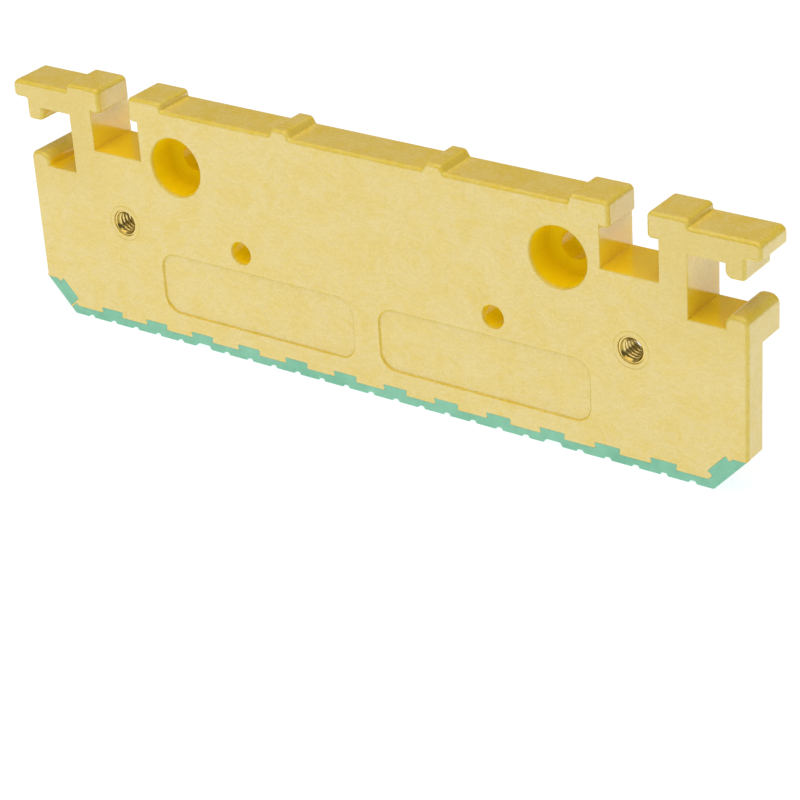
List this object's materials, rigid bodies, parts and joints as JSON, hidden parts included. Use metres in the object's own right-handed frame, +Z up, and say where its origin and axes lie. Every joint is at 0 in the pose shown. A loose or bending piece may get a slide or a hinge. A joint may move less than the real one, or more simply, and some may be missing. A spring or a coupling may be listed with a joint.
{
  "type": "push block leg",
  "caption": "Side leg of a table saw push block: moulded plate with T shaped hanger heads, counterbored bolt holes, brass threaded inserts and a grooved non-slip rubber foot.",
  "frame": {"origin": "on the ground under the middle of the bounding box", "axes": "+X along the leg, the flat front face looks along -Y, +Z up from the rubber foot to the hanger heads"},
  "size_m": [0.2356, 0.016, 0.072],
  "materials": {
    "yellow_plastic": "satin mottled glass filled plastic",
    "green_rubber": "matte moulded rubber",
    "brass": "machined"
  },
  "bodies": {
    "root": {"leg_body": "yellow_plastic", "foot_strip": "green_rubber", "foot_corner_pad": "green_rubber", "threaded_insert_left": "brass", "threaded_insert_right": "brass"}
  },
  "joints": []
}
